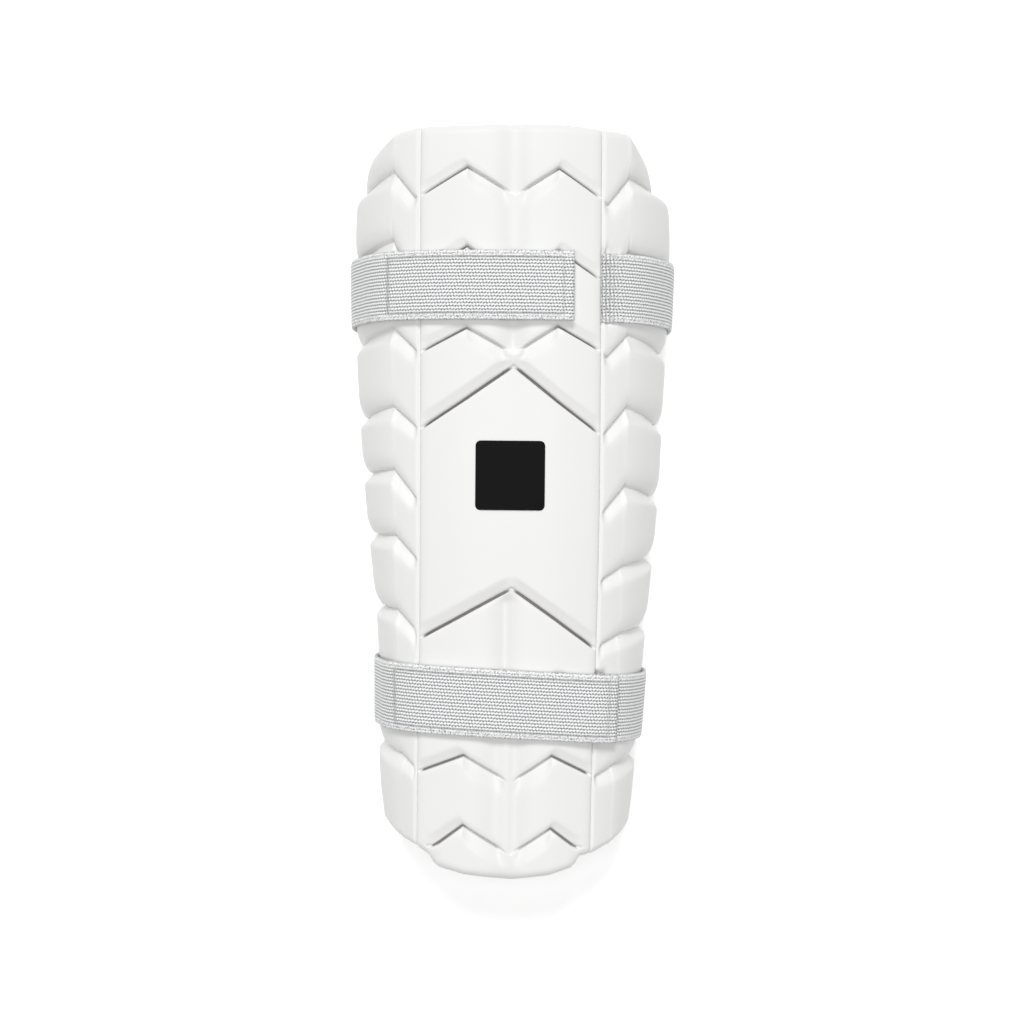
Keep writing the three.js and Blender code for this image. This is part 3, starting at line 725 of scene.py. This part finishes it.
def buildSeam(place, frameAt, total):
    bm = bmesh.new()
    for distance, w, lengthwise in seamPath(place, frameAt, total):
        p, way, over, normal = frameAt(distance, w)
        run = way if lengthwise else over
        sideways = normal.cross(run).normalized()
        centre = p + normal * (strap["thickness"] / 2 + seam["thread"] * 0.25)
        made = bmesh.ops.create_uvsphere(bm, u_segments=8, v_segments=6, radius=1)
        for vert in made["verts"]:
            x, y, z = vert.co
            bow = -seam["bow"] * x * x
            q = (centre + run * (x * seam["stitch"] / 2) + sideways * (y * seam["thread"])
                 + normal * (z * seam["thread"] * 0.8 + bow))
            vert.co = inFrame(*q)
    bmesh.ops.recalc_face_normals(bm, faces=bm.faces)
    return finishMesh(bm, place["name"] + "Seam")


patch = {
    "size": 25.3,
    "corner": 1.8,
    "thickness": 0.35,
    "centre": (-0.97, 10.55),
    "lift": 0.05,
    "rimBevel": 0.2,
}


def buildPatch():
    bm = bmesh.new()
    half = patch["size"] / 2
    bmesh.ops.create_grid(bm, x_segments=1, y_segments=1, size=half)
    bmesh.ops.bevel(bm, geom=bm.verts[:], affect="VERTICES", offset=patch["corner"], segments=6, profile=0.5,
                    material=-1)
    for k in range(1, 12):
        x = lerp(-half, half, k / 12)
        for point, normal in (((x, 0, 0), (1, 0, 0)), ((0, x, 0), (0, 1, 0))):
            geom = bm.verts[:] + bm.edges[:] + bm.faces[:]
            bmesh.ops.bisect_plane(bm, geom=geom, plane_co=point, plane_no=normal)
    made = bmesh.ops.extrude_face_region(bm, geom=bm.faces[:], use_keep_orig=True)
    top = {item for item in made["geom"] if isinstance(item, bmesh.types.BMVert)}
    rim = [edge for edge in bm.edges
           if len(edge.link_faces) == 2 and edge.verts[0] in top and edge.verts[1] in top
           and any(v not in top for face in edge.link_faces for v in face.verts)]
    for vert in bm.verts:
        x, y = vert.co.x + patch["centre"][0], vert.co.y + patch["centre"][1]
        panel = sectionAt(y, "L" if x < 0 else "R")[0]
        p, n = outerPoint(x / panel, y), outerNormal(x / panel, y)
        lift = patch["lift"] + (patch["thickness"] if vert in top else 0)
        q = p + n * lift
        vert.co = inFrame(q.x, y, q.y)
    bmesh.ops.bevel(bm, geom=rim, affect="EDGES", offset=patch["rimBevel"] * mm, segments=2, profile=0.5,
                    material=-1)
    bmesh.ops.recalc_face_normals(bm, faces=bm.faces)
    return finishMesh(bm, "blankPatch")


def finishMesh(bm, name):
    mesh = bpy.data.meshes.new(name)
    for face in bm.faces:
        face.smooth = True
    bm.to_mesh(mesh)
    bm.free()
    piece = bpy.data.objects.new(name, mesh)
    bpy.context.scene.collection.objects.link(piece)
    return piece


def newMaterial(name, colour, roughness):
    material = bpy.data.materials.new(name)
    material.use_nodes = True
    shader = material.node_tree.nodes["Principled BSDF"]
    shader.inputs["Base Color"].default_value = (*colour, 1)
    shader.inputs["Roughness"].default_value = roughness
    return material, material.node_tree.nodes, material.node_tree.links, shader


makeCamera()
makeStudio()
print("camera and studio made")


def patternOn(nodes, links, kind, scale):
    where = nodes.new("ShaderNodeTexCoord")
    pattern = nodes.new(kind)
    pattern.inputs["Scale"].default_value = scale
    links.new(where.outputs["Object"], pattern.inputs["Vector"])
    return pattern


def bumpFrom(nodes, links, height, strength, distance):
    bump = nodes.new("ShaderNodeBump")
    bump.inputs["Strength"].default_value = strength
    bump.inputs["Distance"].default_value = distance
    links.new(height, bump.inputs["Height"])
    return bump


foamLook = {
    "colour": (0.80, 0.80, 0.79),
    # the crease colour is painted shade, laid into the deepest part of each groove
    "grooveShadeColour": (0.42, 0.405, 0.38),
    "grooveShadeFrom": 0.62,  # share of a 3 mm groove where the painted shade starts
    "roughness": 0.43,
    "gloss": 0.22,
    "grain": 1900,
    "wave": 90,
}


def foamFinish():
    material, nodes, links, shader = newMaterial("whiteFoam", foamLook["colour"], foamLook["roughness"])
    shader.inputs["Specular IOR Level"].default_value = foamLook["gloss"]
    # painted shade: the foam turns darker and warmer down in the slots of the grooves
    crease = nodes.new("ShaderNodeAttribute")
    crease.attribute_name = "crease"
    grooveShade = nodes.new("ShaderNodeValToRGB")
    grooveShade.color_ramp.elements[0].position = foamLook["grooveShadeFrom"]
    grooveShade.color_ramp.elements[0].color = foamLook["colour"] + (1,)
    grooveShade.color_ramp.elements[1].position = 1.0
    grooveShade.color_ramp.elements[1].color = foamLook["grooveShadeColour"] + (1,)
    links.new(crease.outputs["Fac"], grooveShade.inputs["Fac"])
    links.new(grooveShade.outputs["Color"], shader.inputs["Base Color"])
    grain = patternOn(nodes, links, "ShaderNodeTexNoise", foamLook["grain"])
    grain.inputs["Detail"].default_value = 2
    wave = patternOn(nodes, links, "ShaderNodeTexNoise", foamLook["wave"])
    wave.inputs["Detail"].default_value = 3
    fine = bumpFrom(nodes, links, grain.outputs["Fac"], 0.12, 0.00012)
    broad = bumpFrom(nodes, links, wave.outputs["Fac"], 0.25, 0.0004)
    links.new(broad.outputs["Normal"], fine.inputs["Normal"])
    links.new(fine.outputs["Normal"], shader.inputs["Normal"])
    return material


weaveLook = {
    "light": (0.89, 0.90, 0.90),
    "dark": (0.02, 0.022, 0.025),
    "ribLight": 0.18,  # share of a rib that stays light
    "ribDark": 0.88,
    "dash": 1.05,  # millimetres from one dark dash to the next
    "bend": 1.35,  # and from one bend of a rib to the next
    "bendDepth": 0.13,
    "loops": 1.9,  # to a millimetre, in the knitted edges
}


def elasticFinish():
    material, nodes, links, shader = newMaterial("ribbedElastic", (0.62, 0.63, 0.64), 0.85)
    weave = nodes.new("ShaderNodeUVMap")
    weave.uv_map = "weave"
    parts = nodes.new("ShaderNodeSeparateXYZ")
    links.new(weave.outputs["UV"], parts.inputs["Vector"])

    def sums(operation, a, b=None):
        node = nodes.new("ShaderNodeMath")
        node.operation = operation
        for socket, value in ((0, a), (1, b)):
            if value is None:
                continue
            if isinstance(value, (int, float)):
                node.inputs[socket].default_value = value
            else:
                links.new(value, node.inputs[socket])
        return node.outputs[0]

    def soft(value, low, high):
        node = nodes.new("ShaderNodeMapRange")
        node.interpolation_type = "SMOOTHSTEP"
        node.inputs["From Min"].default_value = low
        node.inputs["From Max"].default_value = high
        links.new(value, node.inputs["Value"])
        return node.outputs["Result"]

    def wave(pitch, shift):
        turn = sums("MULTIPLY", parts.outputs["X"], 2 * math.pi / pitch)
        return sums("SINE", sums("ADD", turn, sums("MULTIPLY", row, shift)))

    # rows of dark dashes between the light ribs
    row = sums("FLOOR", sums("ADD", parts.outputs["Y"], 0.5))
    bend = sums("MULTIPLY", wave(weaveLook["bend"], 1.9), weaveLook["bendDepth"])
    bent = sums("ADD", parts.outputs["Y"], bend)
    fromRib = sums("ABSOLUTE", sums("SUBTRACT", sums("MULTIPLY", sums("FRACT", bent), 2), 1))
    between = soft(fromRib, weaveLook["ribLight"], weaveLook["ribDark"])
    dash = sums("ADD", sums("MULTIPLY", wave(weaveLook["dash"], 1.3), 0.3), 0.7)
    dark = sums("MULTIPLY", between, dash)
    # the knitted edge, in millimetres both ways
    flatWay = nodes.new("ShaderNodeCombineXYZ")
    links.new(parts.outputs["X"], flatWay.inputs["X"])
    links.new(sums("MULTIPLY", parts.outputs["Y"], strap["width"] / strap["ribs"]), flatWay.inputs["Y"])
    loops = nodes.new("ShaderNodeTexVoronoi")
    loops.inputs["Scale"].default_value = weaveLook["loops"]
    links.new(flatWay.outputs["Vector"], loops.inputs["Vector"])
    uneven = nodes.new("ShaderNodeTexNoise")
    uneven.inputs["Scale"].default_value = 0.9
    links.new(flatWay.outputs["Vector"], uneven.inputs["Vector"])
    fromMiddle = sums("ABSOLUTE", sums("SUBTRACT", parts.outputs["Y"], strap["ribs"] / 2))
    selvedge = soft(fromMiddle, strap["ribs"] / 2 - 2.2, strap["ribs"] / 2 - 1.5)
    speckle = sums("SUBTRACT", 1, soft(loops.outputs["Distance"], 0.2, 0.5))
    rest = sums("SUBTRACT", 1, sums("MULTIPLY", selvedge, 0.6))
    speckle = sums("MULTIPLY", sums("MULTIPLY", speckle, selvedge), 0.6)
    dark = sums("ADD", sums("MULTIPLY", dark, rest), speckle)
    # painted shade: dark upright lines in the folds where it is gathered into the slit, and painted shade along
    # the stitches that pull it in
    gathered = nodes.new("ShaderNodeAttribute")
    gathered.attribute_name = "gathered"
    # painted shade in the folds of the gathers
    lines = sums("ADD", sums("MULTIPLY", wave(weaveLook["dash"] * 1.3, 0), 0.3), 0.3)
    lines = sums("MULTIPLY", lines, gathered.outputs["Fac"])
    # painted shade along the stitch line
    seamShade = nodes.new("ShaderNodeAttribute")
    seamShade.attribute_name = "seamShade"
    dark = sums("MAXIMUM", sums("MAXIMUM", dark, lines), sums("MULTIPLY", seamShade.outputs["Fac"], 0.5))
    dark = sums("MULTIPLY", dark, sums("ADD", uneven.outputs["Fac"], 0.5))
    tone = nodes.new("ShaderNodeValToRGB")
    tone.color_ramp.elements[0].color = weaveLook["light"] + (1,)
    tone.color_ramp.elements[1].color = weaveLook["dark"] + (1,)
    links.new(dark, tone.inputs["Fac"])
    links.new(tone.outputs["Color"], shader.inputs["Base Color"])
    bump = bumpFrom(nodes, links, sums("SUBTRACT", 1, dark), 0.5, 0.00008)
    links.new(bump.outputs["Normal"], shader.inputs["Normal"])
    shader.inputs["Sheen Weight"].default_value = 0.15
    return material


smallFinishes = {  # depth is the bump's, in metres
    "whiteThread": {"colour": (0.78, 0.79, 0.79), "roughness": 0.6, "gloss": 0.5, "pattern": "ShaderNodeTexWave",
                    "output": "Fac", "scale": 900, "strength": 0.3, "depth": 0.0001},
    "gripTape": {"colour": (0.6, 0.61, 0.62), "roughness": 0.95, "gloss": 0.5, "pattern": "ShaderNodeTexVoronoi",
                 "output": "Distance", "scale": 1400, "strength": 0.6, "depth": 0.0003},
    "blackTransfer": {"colour": (0.004, 0.004, 0.0045), "roughness": 0.55, "gloss": 0.06,
                      "pattern": "ShaderNodeTexNoise", "output": "Fac", "scale": 1500, "strength": 0.15,
                      "depth": 0.0001},
}


def smallFinish(name):
    look = smallFinishes[name]
    material, nodes, links, shader = newMaterial(name, look["colour"], look["roughness"])
    shader.inputs["Specular IOR Level"].default_value = look["gloss"]
    pattern = patternOn(nodes, links, look["pattern"], look["scale"])
    bump = bumpFrom(nodes, links, pattern.outputs[look["output"]], look["strength"], look["depth"])
    links.new(bump.outputs["Normal"], shader.inputs["Normal"])
    return material


foamShell = buildPad()
foamShell.data.materials.append(foamFinish())
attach(foamShell, "root")
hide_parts("guard_pad")
print("foam shell made", len(foamShell.data.polygons))

elastic, thread, grip = elasticFinish(), smallFinish("whiteThread"), smallFinish("gripTape")
for place in strapPlaces:
    band, frameAt, total = buildStrap(place)
    band.data.materials.append(elastic)
    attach(band, "root")
    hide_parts(place["name"] + "_strap")
    stitches = buildSeam(place, frameAt, total)
    stitches.data.materials.append(thread)
    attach(stitches, "root")
    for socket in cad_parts[place["name"] + "_grip_patch"].material_slots:
        socket.material = grip
    print(place["name"], "strap made, length", round(total), "mm")

blankPatch = buildPatch()
blankPatch.data.materials.append(smallFinish("blackTransfer"))
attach(blankPatch, "root")
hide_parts("badge")
print("blank patch made")
